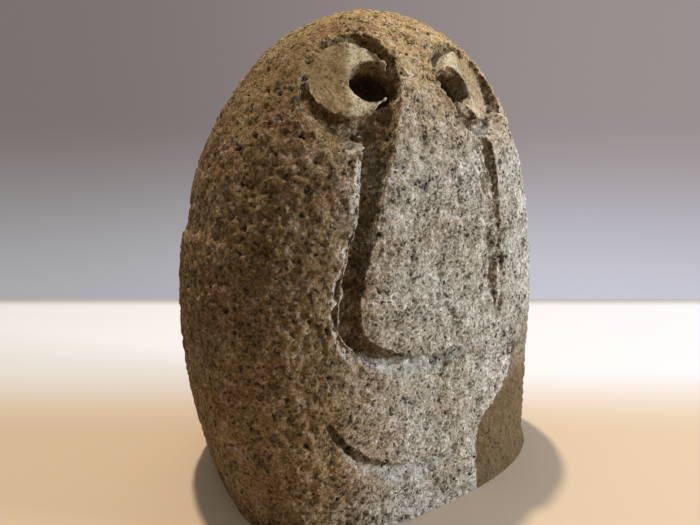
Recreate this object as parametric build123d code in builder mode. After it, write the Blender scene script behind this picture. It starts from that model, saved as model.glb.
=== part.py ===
from build123d import *
import os
from collections import namedtuple
from math import asin, copysign, cos, pi, radians, sin, sqrt

# A tiki figure: one domed lump of porous volcanic stone, sawn flat underneath, with a face cut into
# its front. Millimetres. +Z is up, the face looks along -Y, and -X is the viewer's left.
# The origin is in the sawn base, under the middle of the nose.

os.makedirs("parts", exist_ok=True)

# The lump. Each side's reach from the upright axis is given at the sawn base, at half height and at
# the crown, where the last is the reach it would have if the dome didn't close over it.
Side = namedtuple("Side", "base middle crown dome")
stone_height = 260
left_side = Side(base=88, middle=115.5, crown=128, dome=2.19)
right_side = Side(base=113.5, middle=112.5, crown=128, dome=2.41)
front_side = Side(base=63.4, middle=72.5, crown=101, dome=2.6)
back_side = Side(base=92.5, middle=70, crown=73.5, dome=2.27)
front_squareness = 2.6
back_squareness = 3.6
crown_lean = 2.6
crown_push = 8
stone_levels = 10
crown_level = 0.9996
outline_points = 28

# Eyes: flat discs left standing in hollows that are cut along each eye's own line of sight. Each
# pupil is a bore beside the nose, broken out through the disc's rim there.
eye_spacing = 70
eye_middle = -1.7
eye_drop = 38
eye_turn = 23.4
eye_tilt = 27.9
disc_radius = 19.4
disc_setback = 2.9
hollow_depth = 6.0
hollow_sink = 8
hollow_fall = 15
hollow_gap = 1.6
pupil_radius = 9
pupil_depth = 18
pupil_offset = 10.2
pupil_drop = 0.8
break_offset = 12.8
break_depth = 12.5

# How far the hollow's upper edge stands off the disc, every 30 degrees from the nose side over the
# brow and round under the eye, where it runs out in a long slope. Its floor falls towards the nose
# and sinks towards the cheek.
hollow_margins = {
    "left": (5, 7, 8.5, 6.5, 3.5, 2.0, 2.0, 5, 10, 15, 16, 7),
    "right": (3, 5, 7, 6.5, 3.5, 2.0, 2.0, 4, 8, 12, 12, 4),
}

# Nose: left standing between two grooves. Each row is a height, as a share of the way from the nose's
# foot to the eyes, the nose's reach to the viewer's left and right there, and the grooves' widths.
NoseRow = namedtuple("NoseRow", "share left right left_gap right_gap")
nose_foot = 91
nose_rows = (
    NoseRow(0.92, 16, 15.5, 4.5, 2),
    NoseRow(0.84, 19, 18.5, 12, 15),
    NoseRow(0.64, 28.5, 29, 9.5, 11.5),
    NoseRow(0.42, 37, 33.5, 8, 9.5),
    NoseRow(0.18, 42, 38, 9.5, 8.5),
)

# The left groove turns the corner into the cut under the nose. Each row is a place on the nose's edge
# and the place across from it on the cheek's edge, with heights from the nose's foot. The right groove
# only falls away from the nose's edge, as if the stone's front were hinged there, to a steep outer wall.
CornerRow = namedtuple("CornerRow", "across rise cheek_across cheek_rise")
corner_rows = (
    CornerRow(-39, 15, -49.5, 15),
    CornerRow(-32.5, 9, -44, 8.5),
    CornerRow(-22, 4, -33, 2),
    CornerRow(-6, 0.5, -8, -1),
)
groove_depth = 8.5
groove_fall = 14
groove_foot = 8

# The cut under the nose and the mouth: a steep upper wall and a long lower slope. Each row is a place
# across the face, its height above the lowest place of the cut, and how far the slope runs down.
# Each cut's floor is a plane turned a little towards the viewer's left, as the stone's front is there.
CutRow = namedtuple("CutRow", "across rise slope")
lip_rows = (
    CutRow(-44, 19, 7),
    CutRow(-33, 9.5, 11),
    CutRow(-20, 3.5, 10),
    CutRow(-2, 0, 8.5),
    CutRow(20, 2, 6),
    CutRow(41, 9, 3.5),
)
lip_depth = 7
lip_turn = -2
mouth_height = 31.5
mouth_rows = (
    CutRow(-57, 37, 3),
    CutRow(-42, 16, 6),
    CutRow(-26, 5.5, 7.5),
    CutRow(-4, 0, 7.5),
    CutRow(22, 5, 3),
)
mouth_depth = 4.8
mouth_turn = -6
cut_floor = 1.0
cut_overrun = 9


def reach(side, share):
    """Distance from the axis to one side of the lump at this share of its height."""
    flat = side.base * (1 - share) * (1 - 2 * share)
    flat += side.middle * 4 * share * (1 - share)
    flat += side.crown * share * (2 * share - 1)
    return flat * sqrt(max(1 - share**side.dome, 0))


def signed_power(value, power):
    return copysign(abs(value) ** power, value)


def section(share, inset=0):
    """Points round the lump at this share of its height, drawn in by the inset."""
    points = []
    for step in range(outline_points):
        turn = 2 * pi * step / outline_points
        wide = right_side if cos(turn) > 0 else left_side
        deep = back_side if sin(turn) > 0 else front_side
        power = 2 / (back_squareness if sin(turn) > 0 else front_squareness)
        across = reach(wide, share) * (1 - inset / wide.middle)
        along = reach(deep, share) * (1 - inset / deep.middle)
        points.append(
            (
                across * signed_power(cos(turn), power) + crown_lean * share**2,
                along * signed_power(sin(turn), power) + crown_push * share**2,
            )
        )
    return points


def front_of_stone(across, height):
    """Where the lump's front stands, as a Y value, at a place on the face."""
    share = height / stone_height
    across -= crown_lean * share**2
    wide = reach(right_side if across > 0 else left_side, share)
    bulge = (1 - abs(across / wide) ** front_squareness) ** (1 / front_squareness)
    return crown_push * share**2 - reach(front_side, share) * bulge


def eye_plane(side):
    """Plane of one eye's disc: side is -1 for the viewer's left and 1 for the right."""
    across = eye_middle + side * eye_spacing / 2
    height = stone_height - eye_drop
    turn = radians(side * eye_turn)
    tilt = radians(eye_tilt)
    sight = Vector(sin(turn) * cos(tilt), -cos(turn) * cos(tilt), sin(tilt))
    surface = Vector(across, front_of_stone(across, height), height)
    return Plane(
        origin=surface - sight * disc_setback,
        x_dir=Vector(cos(turn), sin(turn), 0),
        z_dir=sight,
    )


def ring_points(radii, side):
    """Closed outline round an eye by its radii at equal turns, from the nose side up over the brow."""
    turns = [2 * pi * step / len(radii) for step in range(len(radii))]
    return [(-side * radius * cos(turn), radius * sin(turn)) for radius, turn in zip(radii, turns)]


def cut_outline(rows, foot, out):
    """Upper and lower edge of a face cut, from out 0 at its floor to out 1 at the stone's front."""
    upper = [(row.across, foot + row.rise) for row in rows]
    lower = [(row.across, foot + row.rise - cut_floor - row.slope * out) for row in rows]
    return upper, lower


# The lump, and the same lump drawn in by the grooves' depth, which is what the grooves stop at.
# The sections stand closer together towards the crown.
lumps = []
for inset in (0, groove_depth):
    with BuildPart() as lump:
        for level in range(stone_levels + 1):
            share = sin(asin(crown_level) * level / stone_levels)
            with BuildSketch(Plane.XY.offset((stone_height - inset) * share / crown_level)):
                with BuildLine():
                    Spline(*section(share, inset), periodic=True)
                make_face()
        loft()
    lumps.append(lump.part)
whole_lump, groove_core = lumps

# The hollows round the eyes, with the discs left out of them, and the pupils.
eye_cuts = []
for name, side in (("left", -1), ("right", 1)):
    disc_plane = eye_plane(side)
    floor_plane = disc_plane.offset(-hollow_depth).rotated((hollow_sink, -side * hollow_fall, 0))
    floor_radii = [disc_radius + hollow_gap] * len(hollow_margins[name])
    rim_radii = [disc_radius + margin for margin in hollow_margins[name]]
    outer_radii = [2 * rim - floor for rim, floor in zip(rim_radii, floor_radii)]
    with BuildPart() as hollow:
        for radii, plane in ((floor_radii, floor_plane), (outer_radii, disc_plane.offset(hollow_depth))):
            with BuildSketch(plane):
                with BuildLine():
                    Spline(*ring_points(radii, side), periodic=True)
                make_face()
        loft(ruled=True)
        with BuildSketch(disc_plane):
            Circle(disc_radius)
        extrude(amount=-2 * hollow_depth, mode=Mode.SUBTRACT)
        for offset, depth in ((pupil_offset, pupil_depth), (break_offset, break_depth)):
            with BuildSketch(disc_plane):
                with Locations((-side * offset, -pupil_drop)):
                    Circle(pupil_radius)
            extrude(amount=-depth)
    eye_cuts.append(hollow.part)

# The grooves down both sides of the nose.
eye_line = stone_height - eye_drop
nose_heights = [nose_foot + row.share * (eye_line - nose_foot) for row in nose_rows]
left_edge = [(-row.left, height) for row, height in zip(nose_rows, nose_heights)]
left_cheek = [(x - row.left_gap, height) for row, (x, height) in zip(nose_rows, left_edge)]
left_edge += [(row.across, nose_foot + row.rise) for row in corner_rows]
left_cheek += [(row.cheek_across, nose_foot + row.cheek_rise) for row in corner_rows]
right_edge = [(row.right, height) for row, height in zip(nose_rows, nose_heights)]
right_cheek = [(x + row.right_gap, height) for row, (x, height) in zip(nose_rows, right_edge)]
right_edge.append((right_edge[-1][0] + 1, nose_foot + groove_foot))
right_cheek.append((right_edge[-1][0] + 4, nose_foot + groove_foot))

hinge_top, hinge_foot = (
    Vector(across, front_of_stone(across, height), height)
    for across, height in (right_edge[0], right_edge[-1])
)
hinge = Axis(hinge_top, hinge_top - hinge_foot)
side_grooves = []
for nose_edge, cheek_edge, core in (
    (left_edge, left_cheek, groove_core),
    (right_edge, right_cheek, whole_lump.rotate(hinge, groove_fall)),
):
    with BuildPart() as groove:
        with BuildSketch(Plane.XZ):
            with BuildLine():
                Spline(*nose_edge)
                Spline(*cheek_edge)
                Line(nose_edge[0], cheek_edge[0])
                Line(nose_edge[-1], cheek_edge[-1])
            make_face()
        extrude(amount=2 * front_side.middle)
        add(core, mode=Mode.SUBTRACT)
    side_grooves.append(groove.part)

# The cut under the nose and the mouth, each lofted from its floor out past the lump's front.
face_cuts = []
for rows, foot, depth, turn in (
    (lip_rows, nose_foot, lip_depth, radians(lip_turn)),
    (mouth_rows, mouth_height, mouth_depth, radians(mouth_turn)),
):
    floor_plane = Plane(
        origin=(0, front_of_stone(0, foot) + depth, 0),
        x_dir=(cos(turn), sin(turn), 0),
        z_dir=(sin(turn), -cos(turn), 0),
    )
    with BuildPart() as face_cut:
        for out in (0, depth + cut_overrun):
            upper, lower = cut_outline(rows, foot, out / depth)
            with BuildSketch(floor_plane.offset(out)):
                with BuildLine():
                    Spline(*upper)
                    Spline(*lower)
                    Line(upper[0], lower[0])
                    Line(upper[-1], lower[-1])
                make_face()
        loft(ruled=True)
    face_cuts.append(face_cut.part)

with BuildPart() as carved_stone:
    add(whole_lump)
    for cut in (*eye_cuts, *side_grooves, *face_cuts):
        add(cut, mode=Mode.SUBTRACT)

carved_stone.part.label = "carved_stone"
export_step(carved_stone.part, "parts/carved_stone.step")
print("volume", carved_stone.part.volume, "solids", len(carved_stone.part.solids()))
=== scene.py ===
import math

import bmesh
import bpy
import numpy as np
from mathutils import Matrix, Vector
from mathutils.bvhtree import BVHTree
from mathutils.kdtree import KDTree


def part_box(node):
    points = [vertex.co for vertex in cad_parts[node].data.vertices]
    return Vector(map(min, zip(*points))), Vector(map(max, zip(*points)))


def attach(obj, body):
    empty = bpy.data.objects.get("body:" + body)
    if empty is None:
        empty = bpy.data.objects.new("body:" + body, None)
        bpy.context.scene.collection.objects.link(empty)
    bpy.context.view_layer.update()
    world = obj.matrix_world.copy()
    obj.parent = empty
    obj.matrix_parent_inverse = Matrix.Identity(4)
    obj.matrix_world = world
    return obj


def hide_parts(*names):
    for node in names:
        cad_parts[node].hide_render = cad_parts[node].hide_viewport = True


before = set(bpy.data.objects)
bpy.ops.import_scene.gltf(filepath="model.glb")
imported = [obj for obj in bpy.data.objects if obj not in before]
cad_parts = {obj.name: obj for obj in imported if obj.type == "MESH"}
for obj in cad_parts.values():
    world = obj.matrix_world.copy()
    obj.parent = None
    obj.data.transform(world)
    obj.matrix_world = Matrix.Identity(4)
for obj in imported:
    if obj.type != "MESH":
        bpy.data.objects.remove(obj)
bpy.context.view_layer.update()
stoneLow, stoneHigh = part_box("carved_stone")
print("frame loaded")

mm = 0.001
scene = bpy.context.scene


# Random values and noise, the same in every run

def cellValue(cells, seed):
    # one random number from 0 to 1 for each whole-numbered cell
    mixed = cells[:, 0] * 73856093 ^ cells[:, 1] * 19349663 ^ cells[:, 2] * 83492791 ^ seed * 2654435761
    mixed = mixed & 0xFFFFFFFF
    mixed = ((mixed >> 16) ^ mixed) * 0x45D9F3B & 0xFFFFFFFF
    mixed = ((mixed >> 16) ^ mixed) * 0x45D9F3B & 0xFFFFFFFF
    return ((mixed >> 16) ^ mixed) / 0xFFFFFFFF


def noise(points, size, seed):
    # smooth noise from -1 to 1 with lumps of about this size
    scaled = points / size
    corner = np.floor(scaled).astype(np.int64)
    part = scaled - corner
    part = part * part * part * (part * (part * 6 - 15) + 10)
    total = np.zeros(len(points))
    for x in (0, 1):
        for y in (0, 1):
            for z in (0, 1):
                step = np.array((x, y, z))
                share = np.prod(np.where(step, part, 1 - part), axis=1)
                total += share * cellValue(corner + step, seed)
    return total * 2 - 1


def layeredNoise(points, size, seed, layers=3):
    total = sum(noise(points, size / 2**k, seed + k) / 2**k for k in range(layers))
    return total / (2 - 2 ** (1 - layers))


def ease(value, low, high):
    # 0 below low, 1 above high and smooth between
    share = np.clip((value - low) / (high - low), 0, 1)
    return share * share * (3 - 2 * share)


def besidePath(points, path):
    # distance of points on the face from a path across it, and on which side they lie
    flat = points[:, (0, 2)]
    nearest = np.full(len(flat), 1e9)
    side = np.zeros(len(flat))
    for start, end in zip(path[:-1], path[1:]):
        start, end = np.array(start, float), np.array(end, float)
        run = end - start
        share = np.clip((flat - start) @ run / (run @ run), 0, 1)
        off = flat - start - share[:, None] * run
        far = np.linalg.norm(off, axis=1)
        closer = far < nearest
        nearest[closer] = far[closer]
        turn = run[0] * (flat[:, 1] - start[1]) - run[1] * (flat[:, 0] - start[0])
        side[closer] = np.sign(turn)[closer]
    return nearest, side


# The stone, worked on as a fine mesh in millimetres

stone = {
    "grid": 0.8,            # spacing of the worked mesh
    "faces": 190000,        # what is left once flat stretches are thinned out
    "skin": 1.0,            # how far the rough surface lies inside the designed one
    "swell": (42, 1.0),     # size and height of broad waves
    "lump": (13, 0.7),      # of the unevenness between them
    "peck": (4.0, 1.0),     # of pecking marks
    "grain": (1.9, 0.75),   # of the coarse grain
    "warp": (2.2, 1.1),     # how far the pores are pushed out of round
    "discRidge": 0.04,      # how steeply each disc falls away from its upright middle line
    "seed": 11,
    "pores": (              # cell size, share of cells, smallest and largest radius
        (3.2, 0.75, 0.7, 1.2),
        (8.0, 0.5, 0.9, 1.8),
        (24.0, 0.4, 1.6, 3.0),
    ),
}

# Where things lie on the face, in millimetres across it and up it
crease = ((57, 97), (61, 84), (62, 69), (57, 60), (50, 53), (41, 46), (36, 39), (34, 28), (38, -10))
# The middle lines of the two grooves, and how wide their rubbed edges are at heights up the face
leftGroove = (
    (-22, 212), (-25, 200), (-33, 174), (-41, 146), (-47, 114), (-45, 106), (-38, 98), (-28, 92), (10, 88),
)
leftRub = ((86, 1.0), (92, 3.0), (100, 3.8), (112, 3.5), (150, 2.8), (165, 4.2), (186, 5.5), (200, 1.0))
rightGroove = ((18.5, 206), (26, 200), (34, 174), (39, 146), (42, 114), (40, 90))
rightRub = ((99, 1.5), (120, 4.0), (150, 3.5), (174, 0.8))
eyeSight = (23.4, 27.9)  # degrees that the discs turn out from the middle and tilt up
eyePlaces = ((-35.7, -39.4, 220.6), (32.3, -41.7, 220.6))
discRadius = 19.4
# the rim's two thin tips beside the pupil: noseward, down, and up and down from there
rimTips = (17.9, 0.8, 7.4)


def readPoints(mesh):
    flat = np.empty(len(mesh.vertices) * 3)
    mesh.vertices.foreach_get("co", flat)
    return flat.reshape(-1, 3) / mm


def readNormals(mesh):
    flat = np.empty(len(mesh.vertices) * 3)
    mesh.vertex_normals.foreach_get("vector", flat)
    return flat.reshape(-1, 3)


def writePoints(mesh, points):
    mesh.vertices.foreach_set("co", (points * mm).astype(np.float32).ravel())
    mesh.update()


def applied(piece, kind, **settings):
    # the piece's mesh with one modifier applied
    modifier = piece.modifiers.new(kind, kind)
    for name, value in settings.items():
        setattr(modifier, name, value)
    made = bpy.data.meshes.new_from_object(piece.evaluated_get(bpy.context.evaluated_depsgraph_get()))
    piece.modifiers.clear()
    piece.data = made
    return made


class Neighbours:
    # averages over each vertex's neighbours
    def __init__(self, mesh):
        ends = np.empty(len(mesh.edges) * 2, np.int32)
        mesh.edges.foreach_get("vertices", ends)
        self.first, self.second = ends.reshape(-1, 2).T
        self.count = len(mesh.vertices)
        self.degree = np.bincount(ends, minlength=self.count).astype(float)

    def mean(self, values):
        columns = []
        for column in values.reshape(self.count, -1).T:
            total = np.bincount(self.first, column[self.second], self.count)
            total += np.bincount(self.second, column[self.first], self.count)
            columns.append(total / self.degree)
        return np.array(columns).T.reshape(values.shape)


def poreDepth(points, size, share, small, large, seed):
    # depth of round pores, each centred at random in its cell
    home = np.floor(points / size).astype(np.int64)
    depth = np.zeros(len(points))
    for x in (-1, 0, 1):
        for y in (-1, 0, 1):
            for z in (-1, 0, 1):
                cell = home + (x, y, z)
                centre = np.stack([cellValue(cell, seed + k) for k in range(3)], axis=1)
                radius = small + (large - small) * cellValue(cell, seed + 3) ** 2
                there = cellValue(cell, seed + 4) < share
                gap = radius**2 - ((points - (cell + centre) * size) ** 2).sum(axis=1)
                depth = np.maximum(depth, np.where(there, np.sqrt(np.maximum(gap, 0)), 0))
    return depth


def hullDistance(mesh, points):
    # how far each point lies below the uncarved lump, and which way the lump faces there
    hull = bmesh.new()
    for vertex in mesh.vertices:
        hull.verts.new(vertex.co)
    bmesh.ops.convex_hull(hull, input=hull.verts, use_existing_faces=False)
    bmesh.ops.delete(hull, geom=[v for v in hull.verts if not v.link_faces], context="VERTS")
    tree = BVHTree.FromBMesh(hull)
    found = [tree.find_nearest(Vector(point)) for point in points * mm]
    hull.free()
    return np.array([near[3] for near in found]) / mm, np.array([near[1][:] for near in found])


def cutDistance(points, deep, chosen):
    # how far each chosen point lies from what is carved
    cut = points[deep > 1.0]
    tree = KDTree(len(cut))
    for index, point in enumerate(cut):
        tree.insert(point, index)
    tree.balance()
    far = np.full(len(points), 1e9)
    far[chosen] = [tree.find(point)[2] for point in points[chosen]]
    return far


def eyeSpots(points):
    # for each eye, how far points lie across and up its disc from the middle, and above its plane
    for place, side in zip(eyePlaces, (-1, 1)):
        turn, tilt = math.radians(eyeSight[0] * side), math.radians(eyeSight[1])
        sight = np.array((math.sin(turn) * math.cos(tilt), -math.cos(turn) * math.cos(tilt), math.sin(tilt)))
        across = np.array((math.cos(turn), math.sin(turn), 0))
        away = points - place
        yield away @ across, away @ np.cross(sight, across), away @ sight


def carveStone():
    piece = bpy.data.objects.new("tiki_stone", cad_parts["carved_stone"].data.copy())
    scene.collection.objects.link(piece)
    weld = bmesh.new()
    weld.from_mesh(piece.data)
    bmesh.ops.remove_doubles(weld, verts=weld.verts, dist=0.01 * mm)
    weld.to_mesh(piece.data)
    weld.free()
    designed = piece.data.copy()
    mesh = applied(piece, "REMESH", mode="VOXEL", voxel_size=stone["grid"] * mm)
    points = readPoints(mesh)
    near = Neighbours(mesh)
    seed = stone["seed"]
    print("stone remeshed,", len(points), "points")

    deep, lumpNormals = hullDistance(designed, points)
    carved = ease(deep, 0.4, 1.4)
    disc = np.zeros(len(points))
    ridge = np.zeros(len(points))
    nearNose = np.zeros(len(points))
    tips = np.zeros(len(points))
    for across, up, above in eyeSpots(points):
        inside = 1 - ease(np.hypot(across, up), discRadius - 0.2, discRadius + 1.2)
        inside *= ease(above, -2.0, -1.0)
        disc = np.maximum(disc, inside)
        ridge = np.maximum(ridge, inside * stone["discRidge"] * np.hypot(across, 2.5))
        noseward = -across * np.sign(points[:, 0])
        nearNose = np.maximum(nearNose, inside * ease(noseward, -1.5, 1.5))
        fromTip = np.hypot(noseward - rimTips[0], abs(up + rimTips[1]) - rimTips[2])
        tips = np.maximum(tips, (1 - ease(fromTip, 2.5, 5)) * ease(above, -12, -10) * (above < 3))
    bore = ease(deep, 9, 13)
    base = 1 - ease(points[:, 2], 0.1, 1.2)
    front = ease(-points[:, 1], 0, 20)

    # worn edges: each outer edge is drawn in towards the mean of its neighbours
    worn = points.copy()
    for k in range(5):
        worn += 0.5 * (near.mean(worn) - worn)
    bend = ((worn - points) * readNormals(mesh)).sum(axis=1)
    chip = ease(layeredNoise(points, 6.0, seed + 20), -0.3, 0.6)
    outer = ease(-bend, 0.05, 0.35)
    points = points + (worn - points) * (0.35 + 0.65 * outer[:, None] * (0.4 + 0.6 * chip[:, None]))
    points[:, 2] = np.where(base > 0.5, np.maximum(points[:, 2], 0), points[:, 2])
    print("edges worn")

    # the flatter, lower patch outside the crease on the right
    far, side = besidePath(points, crease)
    ragged = 22 * layeredNoise(points, 30, seed + 22)
    ragged += 5 * layeredNoise(points, 6, seed + 24)
    patch = ease(side * far, -1.0, 1.6) * (1 - ease(points[:, 2] + ragged, 55, 105))
    patch *= ease(-points[:, 1] + ragged, -45, 25)
    crack = (1 - ease(far, 1.2, 2.6)) * (1 - ease(points[:, 2], 80, 100)) * front
    crack *= ease(layeredNoise(points, 8, seed + 26), -0.35, 0.1)
    drop = 1.9 * patch + 0.8 * crack + ridge

    # rubbed edges outside the left groove and on the nose's side of the right one; their pale strips are
    # partly painted highlight
    leftFar, leftSide = besidePath(points, leftGroove)
    rightFar, rightSide = besidePath(points, rightGroove)
    besideCut = cutDistance(points, deep, (np.minimum(leftFar, rightFar) < 15) & (front > 0.5))
    rub = np.where(leftFar < rightFar, np.interp(points[:, 2], *np.array(leftRub).T),
                   np.interp(points[:, 2], *np.array(rightRub).T)) * (1 + 0.6 * noise(points, 7, seed + 30))
    outward = np.where(leftFar < rightFar, leftSide, rightSide) < 0
    bevel = np.maximum(rub - besideCut - deep, 0) * outward * front
    broad = np.maximum(ease(points[:, 2], 156, 168), 1 - ease(points[:, 2], 94, 102))
    rubbedAndLit = ease(bevel, 0.1, 0.6) * (1 - (1 - broad) * ease(bevel, 1.2, 2.0))
    points = points - lumpNormals * bevel[:, None]

    # rubble left in the right groove, shallow right ends of both face cuts, a flake scar on the left flank
    shallow = ease(points[:, 0], 6, 20) * carved * front * (points[:, 2] < 99)
    drop = drop - 0.7 * shallow * deep
    rubble = (1 - ease(rightFar, 8, 12)) * carved * (points[:, 2] > 99) * (1 - ease(points[:, 2], 160, 185))
    drop = drop - rubble * deep * (0.45 + 0.4 * layeredNoise(points, 9, seed + 32))
    scarHeight = points[:, 2] + 9 * layeredNoise(points, 25, seed + 34)
    scar = ease(-points[:, 0], 86, 98) * ease(scarHeight, 146, 150) * (1 - ease(scarHeight, 152, 200))
    drop = drop + 2.4 * scar

    writePoints(mesh, points)
    normals = readNormals(mesh)
    # upward-facing carved slopes at the front, drawn pale below as painted light
    shelf = carved * front * ease(normals[:, 2], 0.2, 0.55) * (1 - disc) * (1 - ease(-points[:, 0], 20, 60))
    shelf *= ease(layeredNoise(points, 5, seed + 28), -0.7, 0.2)
    shelf *= np.where(points[:, 2] > 150, points[:, 0] > 0, 1)
    # carved surfaces other than the lit slopes and the discs, painted darker below as shade in the hollows
    cut = carved * (1 - shelf) * (1 - disc)
    smooth = 1 - 0.6 * disc
    (swellSize, swell), (lumpSize, lump) = stone["swell"], stone["lump"]
    (peckSize, peck), (grainSize, grain) = stone["peck"], stone["grain"]
    rough = stone["skin"]
    rough = rough - swell * layeredNoise(points, swellSize, seed) * (1 - carved)
    rough = rough - lump * layeredNoise(points, lumpSize, seed + 4) * smooth * (1 - 0.5 * carved)
    rough = rough - peck * layeredNoise(points, peckSize, seed + 8, 2) * smooth
    rough = rough - grain * noise(points, grainSize, seed + 12) * smooth
    drop = drop + np.maximum(rough, 0)

    warp = np.stack([noise(points, stone["warp"][0], seed + 35 + k) for k in range(3)], axis=1)
    pushed = points + warp * stone["warp"][1]
    pore = np.zeros(len(points))
    for k, (size, share, small, large) in enumerate(stone["pores"]):
        pore = np.maximum(pore, poreDepth(pushed, size, share, small, large, seed + 40 + 10 * k))
    pore *= (1 - 0.8 * disc) * (1 - 0.5 * patch) * (1 - 0.55 * carved)
    drop = drop + pore
    drop = drop * (1 - base) * (1 - tips)
    points = points - normals * drop[:, None]
    points = np.clip(points, np.array(stoneLow) / mm, np.array(stoneHigh) / mm)
    writePoints(mesh, points)
    print("surface pecked and pored")

    blunted = 0.6 * outer * carved * (1 - ease(bevel, 0.1, 0.6))
    masks = {
        "disc": disc,
        # pores, the crease's crack and the eye bores: darkened below as dirt and painted shade
        "pore": np.clip(np.maximum.reduce((pore / 1.2, 0.8 * crack, 0.75 * bore)), 0, 1),
        "patch": patch,
        # worn edges and rubbed strips, partly painted highlight, and the upward-facing cut slopes as painted
        # light
        "worn": np.maximum.reduce((blunted, rubbedAndLit, shelf)),
        "cut": cut,
        "nearNose": disc * nearNose,
    }
    finer = points
    count = sum(len(face.vertices) - 2 for face in mesh.polygons)
    mesh = applied(piece, "DECIMATE", ratio=min(1, stone["faces"] / count))
    print("stone thinned to", len(mesh.polygons), "faces")

    tree = KDTree(len(finer))
    for index, point in enumerate(finer):
        tree.insert(point, index)
    tree.balance()
    nearest = np.array([tree.find(point)[1] for point in readPoints(mesh)])
    for name, values in masks.items():
        layer = mesh.attributes.new(name, "FLOAT", "POINT")
        layer.data.foreach_set("value", values[nearest].astype(np.float32))
    for face in mesh.polygons:
        face.use_smooth = True
    return piece


tikiStone = carveStone()
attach(tikiStone, "root")
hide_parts("carved_stone")


# Materials

def linear(code, alpha=1.0):
    # an sRGB hex value as the linear colour that the nodes take
    parts = [int(code[k:k + 2], 16) / 255 for k in (1, 3, 5)]
    return (*[p / 12.92 if p <= 0.04045 else ((p + 0.055) / 1.055) ** 2.4 for p in parts], alpha)


def addNode(tree, kind, settings=None, links=None):
    # one node with its properties, its input values and what its inputs are joined to
    node = tree.nodes.new(kind)
    for name, value in (settings or {}).items():
        if name in node.inputs.keys() or isinstance(name, int):
            node.inputs[name].default_value = value
        else:
            setattr(node, name, value)
    for name, source in (links or {}).items():
        tree.links.new(source, node.inputs[name])
    return node


andesite = {
    "grey": "#bab6a8",      # the fresh stone
    "tan": "#9b8050",       # its weathered skin
    "paintedCrownLight": "#d8bc87",  # the same, lighter on the crown: painted light from the lamp overhead
    "rust": "#7d4d22",      # iron stain
    "oldSkinAndShade": "#6c5428",       # skin that is older and browner still, on broken facets; also painted shade on the left, in the carved hollows and on the facet
    "pale": "#f4f1e8",      # bruised and rubbed edges, partly painted highlight; also painted light on upward-facing cut slopes
    "rubbedAndLit": "#d5d4cb",    # bruised and rubbed edges
    "dark": "#3c3223",      # dark mineral grains
    "pit": "#1c150d",       # dirt and painted shade in the pores, the crease's crack and the eye bores
    "sawn": "#bdb08f",      # the discs
    "grain": 1.8,           # mm across the grains, drawn coarser than real so that they show
    "fibre": 5.0,           # mm between the ragged crests that the tools left
    "clump": 9.0,           # mm across patches of paler and darker grains
    "speckle": 2.4,         # mm between small pores
    "relief": 1.8,          # mm from the pits to the crests
    "roughness": 0.92,
    "ior": 1.5,
}


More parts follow.
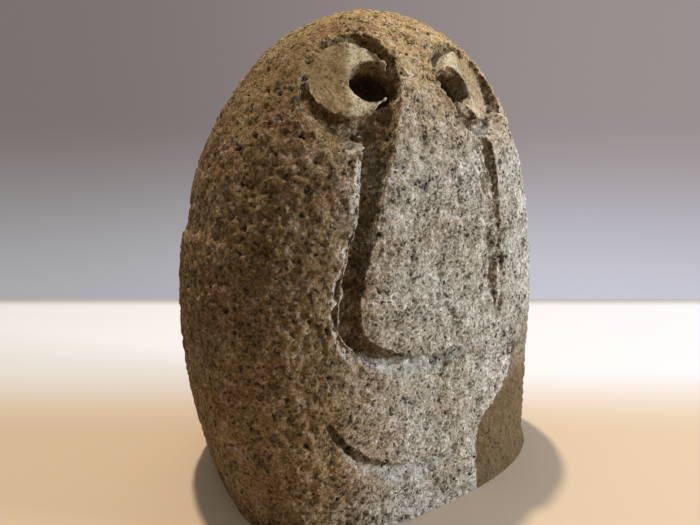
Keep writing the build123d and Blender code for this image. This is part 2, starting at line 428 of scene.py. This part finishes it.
def weatheredAndesite():
    # Porous volcanic stone, pecked and carved by hand and left outdoors: grey with pale and dark grains
    # where it is cut or rubbed, a tan skin where it is old, and dirt in every pore. Light and shade are
    # painted in too: a lighter crown, a darker left side, darker carved hollows, pores and eye bores,
    # and paler lit edges and cut slopes.
    material = bpy.data.materials.new("weatheredAndesite")
    material.use_nodes = True
    tree = material.node_tree
    tree.nodes.clear()
    place = addNode(tree, "ShaderNodeTexCoord").outputs["Object"]

    def mask(name):
        return addNode(tree, "ShaderNodeAttribute", {"attribute_name": name}).outputs["Fac"]

    def pattern(kind, size, source=place, **settings):
        return addNode(tree, kind, {**settings, "Scale": 1 / (size * mm)}, {"Vector": source})

    def cloud(size, source=place, **settings):
        return pattern("ShaderNodeTexNoise", size, source, **settings).outputs["Fac"]

    def ramp(source, low, high, bottom=0.0, top=1.0):
        settings = {1: low, 2: high, 3: bottom, 4: top}
        return addNode(tree, "ShaderNodeMapRange", settings, {0: source}).outputs[0]

    def sums(operation, first, *others):
        for second in others:
            node = addNode(tree, "ShaderNodeMath", {"operation": operation})
            for index, value in enumerate((first, second)):
                if isinstance(value, (int, float)):
                    node.inputs[index].default_value = value
                else:
                    tree.links.new(value, node.inputs[index])
            first = node.outputs[0]
        return first

    def over(under, name, share):
        # one of the colours above over what is there
        node = addNode(tree, "ShaderNodeMix", {"data_type": "RGBA", 7: linear(andesite[name])}, {0: share})
        if isinstance(under, str):
            node.inputs[6].default_value = linear(andesite[under])
        else:
            tree.links.new(under, node.inputs[6])
        return node.outputs[2]

    def pushed(size, reach):
        # places pushed about by noise, so that what is drawn at them isn't round
        push = pattern("ShaderNodeTexNoise", size, Detail=1.0).outputs["Color"]
        level = addNode(tree, "ShaderNodeVectorMath", {"operation": "SUBTRACT", 1: (0.5, 0.5, 0.5)},
                        {0: push})
        spread = addNode(tree, "ShaderNodeVectorMath", {"operation": "SCALE", "Scale": 2 * reach * mm},
                         {0: level.outputs[0]})
        return addNode(tree, "ShaderNodeVectorMath", {"operation": "ADD"},
                       {0: place, 1: spread.outputs[0]}).outputs[0]

    # weathering is stronger to the left and on the crown, and broken up by noise
    apart = addNode(tree, "ShaderNodeSeparateXYZ", links={0: place})
    leftward = ramp(apart.outputs["X"], -0.015, -0.065, 0.0, 0.6)
    upward = ramp(apart.outputs["Z"], 0.18, 0.25, 0.0, 0.6)
    rightFoot = sums("MULTIPLY", ramp(apart.outputs["X"], 0.08, 0.105), ramp(apart.outputs["Z"], 0.21, 0.15))
    inward = ramp(apart.outputs["X"], 0.07, 0.02, 0.0, 0.12)
    skin = sums("ADD", leftward, upward, inward, sums("MULTIPLY", cloud(45, Detail=4.0, Roughness=0.6), 0.7))
    skin = ramp(skin, 0.35, 0.95)
    fresh = ramp(skin, 0.0, 1.0, 1.0, 0.35)
    colour = over("grey", "tan", skin)
    stain = sums("MULTIPLY", ramp(cloud(18, Detail=6.0, Roughness=0.7), 0.47, 0.66),
                 ramp(skin, 0, 1, 0.2, 0.7))
    # the crown painted lighter, as lit by the lamp overhead: painted light
    colour = over(colour, "paintedCrownLight", upward)
    # the left side painted darker brown: painted shade, as it turns away from the window
    colour = over(colour, "oldSkinAndShade", sums("MULTIPLY", leftward, ramp(apart.outputs["Z"], 0.05, 0.13)))
    colour = over(colour, "rust", stain)
    # carved hollows painted darker brown: painted shade
    colour = over(colour, "oldSkinAndShade", sums("MULTIPLY", mask("cut"), 0.6))
    # darker brown towards the bottom on the right side
    colour = over(colour, "oldSkinAndShade", sums("MULTIPLY", rightFoot, 0.7))
    colour = over(colour, "oldSkinAndShade", sums("MULTIPLY", mask("disc"), 0.5))
    colour = over(colour, "sawn", sums("ADD", sums("MULTIPLY", mask("disc"), 0.1),
                                       sums("MULTIPLY", mask("nearNose"), 0.8)))

    # grains, gathered in paler and darker patches and drawn out into ragged crests
    coarse = sums("SUBTRACT", 1.0, sums("MULTIPLY", mask("disc"), 0.45))
    grains = cloud(andesite["grain"], Detail=4.0, Roughness=0.8, Distortion=0.6)
    clumps = cloud(andesite["clump"], Detail=5.0, Roughness=0.65)
    fibres = cloud(andesite["fibre"], noise_type="RIDGED_MULTIFRACTAL", Detail=5.0, Roughness=0.75,
                   Distortion=1.2, Offset=0.8, Gain=1.6)
    spread = sums("ADD", grains, sums("MULTIPLY", sums("SUBTRACT", clumps, 0.5), 0.6))
    colour = over(colour, "pale", sums("MULTIPLY", ramp(spread, 0.52, 0.66, 0.0, 0.95), coarse, fresh))
    colour = over(colour, "dark", sums("MULTIPLY", ramp(spread, 0.48, 0.36, 0.0, 1.0), coarse))
    # the broken facet darker brown: partly older skin, partly painted shade where it faces away from the
    # window
    colour = over(colour, "oldSkinAndShade", sums("MULTIPLY", mask("patch"), 0.93))
    # worn edges and slopes paler: partly wear, partly painted highlight and painted light
    colour = over(colour, "rubbedAndLit", sums("MULTIPLY", mask("worn"), ramp(spread, 0.35, 0.58, 0.15, 0.85)))

    # fine upright saw marks on the discs
    drawnOut = addNode(tree, "ShaderNodeVectorMath", {"operation": "MULTIPLY", 1: (1.0, 1.0, 0.05)},
                       {0: place})
    sawMarks = sums("MULTIPLY", cloud(0.9, drawnOut.outputs[0], Detail=2.0), mask("nearNose"))
    colour = over(colour, "pale", ramp(sawMarks, 0.5, 0.75, 0.0, 0.5))

    pits = pattern("ShaderNodeTexVoronoi", andesite["speckle"], pushed(2.0, 1.3))
    size = addNode(tree, "ShaderNodeSeparateColor", links={0: pits.outputs["Color"]}).outputs[2]
    edge = ramp(size, 0.4, 1.0, 0.0, 0.42)
    pit = sums("MULTIPLY", ramp(sums("SUBTRACT", edge, pits.outputs["Distance"]), -0.02, 0.12), coarse)
    # pits and pores darkened: dirt and painted shade
    dirtAndShade = sums("MAXIMUM", sums("MULTIPLY", pit, 0.8), ramp(mask("pore"), 0.3, 0.95, 0.0, 0.85))
    colour = over(colour, "pit", dirtAndShade)

    height = sums("MULTIPLY", sums("ADD", grains, sums("MULTIPLY", fibres, 0.18)), coarse)
    height = sums("SUBTRACT", sums("ADD", height, sums("MULTIPLY", sawMarks, 0.1)), pit)
    bump = addNode(tree, "ShaderNodeBump", {"Strength": 1.0, "Distance": andesite["relief"] * mm},
                   {"Height": height})
    surface = addNode(tree, "ShaderNodeBsdfPrincipled",
                      {"Roughness": andesite["roughness"], "IOR": andesite["ior"]},
                      {"Base Color": colour, "Normal": bump.outputs["Normal"]})
    addNode(tree, "ShaderNodeOutputMaterial", links={"Surface": surface.outputs["BSDF"]})
    return material


tikiStone.data.materials.clear()
tikiStone.data.materials.append(weatheredAndesite())
print("stone finished")


# Studio: a sheet of pale paper, a plain grey room, a window to the right and a lamp overhead

studio = {
    "paperNear": "#cdbca9",
    "paperFar": "#dfe5f3",
    "paperEdge": "#a9a8ab",
    "paperBands": (0.02, 0.13, 0.29, 0.32),  # metres behind the stone: near to far, and far to edge
    "paperSize": (4.0, 2.4),
    "roomFoot": ("#adadb1", "#cacad7"),      # left and right, at the paper's edge
    "roomTop": ("#7a726f", "#999090"),       # and higher up
    "roomDark": 0.05,                        # on the viewer's side
    "ceiling": "#bcb8ab",                    # its pale light fills the shadows
    "windowAround": 52,                      # degrees from the front towards +X
    "windowUp": 9,                           # degrees above level
    "windowFar": 1.9,                        # metres from the stone
    "windowSize": 0.45,                      # metres
    "windowPower": 45,                       # watts
    "windowColour": "#f0f5fd",
    "lampPlace": (-0.06, 0.2, 1.45),         # metres
    "lampSize": 0.06,
    "lampPower": 16.5,
    "lampColour": "#ffe9cb",
}
heading = Vector((0.501, 0.865, 0))          # the way the camera faces, level


def along(tree, source, direction):
    node = addNode(tree, "ShaderNodeVectorMath", {"operation": "DOT_PRODUCT", 1: direction}, {0: source})
    return node.outputs["Value"]


def blended(tree, share, low, high):
    node = addNode(tree, "ShaderNodeMix", {"data_type": "RGBA"}, {0: share})
    for index, value in ((6, low), (7, high)):
        if isinstance(value, str):
            node.inputs[index].default_value = linear(value)
        else:
            tree.links.new(value, node.inputs[index])
    return node.outputs[2]


def between(tree, source, low, high, smooth="SMOOTHSTEP"):
    node = addNode(tree, "ShaderNodeMapRange", {"interpolation_type": smooth, 1: low, 2: high}, {0: source})
    return node.outputs[0]


def paper():
    # matt paper, warm near the stone and whiter behind it, which ends a little way behind the stone
    wide, deep = studio["paperSize"]
    far = studio["paperBands"][3]
    mesh = bpy.data.meshes.new("floor")
    corners = [(-wide / 2, far), (-wide / 2, far - deep), (wide / 2, far - deep), (wide / 2, far)]
    side = Vector((heading.y, -heading.x, 0))
    mesh.from_pydata([side * x + heading * y for x, y in corners], [], [(0, 1, 2, 3)])
    floor = bpy.data.objects.new("floor", mesh)
    scene.collection.objects.link(floor)
    material = bpy.data.materials.new("mattPaper")
    material.use_nodes = True
    tree = material.node_tree
    surface = tree.nodes["Principled BSDF"]
    surface.inputs["Roughness"].default_value = 0.85
    behind = along(tree, addNode(tree, "ShaderNodeTexCoord").outputs["Object"], heading)
    nearEnd, farStart, farEnd, edge = studio["paperBands"]
    colour = blended(tree, between(tree, behind, nearEnd, farStart), studio["paperNear"], studio["paperFar"])
    colour = blended(tree, between(tree, behind, farEnd, edge), colour, studio["paperEdge"])
    tree.links.new(colour, surface.inputs["Base Color"])
    mesh.materials.append(material)


def room():
    world = bpy.data.worlds.new("room")
    scene.world = world
    world.use_nodes = True
    tree = world.node_tree
    tree.nodes.clear()
    place = addNode(tree, "ShaderNodeTexCoord").outputs["Generated"]
    rightward = between(tree, along(tree, place, (heading.y, -heading.x, 0)), -0.55, 0.55)
    upward = between(tree, along(tree, place, (0, 0, 1)), -0.3, 0.04)
    overhead = between(tree, along(tree, place, (0, 0, 1)), 0.5, 0.75)
    foot = blended(tree, rightward, *studio["roomFoot"])
    top = blended(tree, rightward, *studio["roomTop"])
    colour = blended(tree, upward, foot, top)
    onward = addNode(tree, "ShaderNodeMapRange", {1: -0.2, 2: 0.6, 3: studio["roomDark"], 4: 1.0},
                     {0: along(tree, place, heading)})
    walls = addNode(tree, "ShaderNodeBackground", links={"Color": colour, "Strength": onward.outputs[0]})
    ceiling = addNode(tree, "ShaderNodeBackground", {"Color": linear(studio["ceiling"])})
    light = addNode(tree, "ShaderNodeMixShader",
                    links={0: overhead, 1: walls.outputs[0], 2: ceiling.outputs[0]})
    addNode(tree, "ShaderNodeOutputWorld", links={"Surface": light.outputs[0]})


def addLight(name, place, target, power, colour, size):
    lamp = bpy.data.lights.new(name, "AREA")
    lamp.shape = "DISK"
    lamp.size = size
    lamp.energy = power
    lamp.color = linear(colour)[:3]
    holder = bpy.data.objects.new(name, lamp)
    holder.location = place
    holder.rotation_euler = (Vector(target) - Vector(place)).to_track_quat("-Z", "Y").to_euler()
    scene.collection.objects.link(holder)


middle = (stoneLow + stoneHigh) / 2
around, up = math.radians(studio["windowAround"]), math.radians(studio["windowUp"])
fromWindow = Vector((math.sin(around) * math.cos(up), -math.cos(around) * math.cos(up), math.sin(up)))
paper()
room()
addLight("window", middle + fromWindow * studio["windowFar"], middle, studio["windowPower"],
         studio["windowColour"], studio["windowSize"])
addLight("lamp", studio["lampPlace"], middle, studio["lampPower"], studio["lampColour"], studio["lampSize"])

camera = {
    "place": (-0.1565, -0.2496, 0.1959),
    "heading": 30.08,       # degrees from +Y towards +X
    "pitch": 13.69,         # degrees down
    "lens": 26.86,          # mm, on a sensor 36 mm wide
}


def addCamera():
    lens = bpy.data.cameras.new("camera")
    lens.lens = camera["lens"]
    lens.sensor_width = 36
    lens.clip_start = 0.01
    holder = bpy.data.objects.new("camera", lens)
    holder.location = camera["place"]
    holder.rotation_euler = (math.radians(90 - camera["pitch"]), 0, -math.radians(camera["heading"]))
    scene.collection.objects.link(holder)
    scene.camera = holder


addCamera()
scene.view_settings.view_transform = "Standard"
print("studio ready")
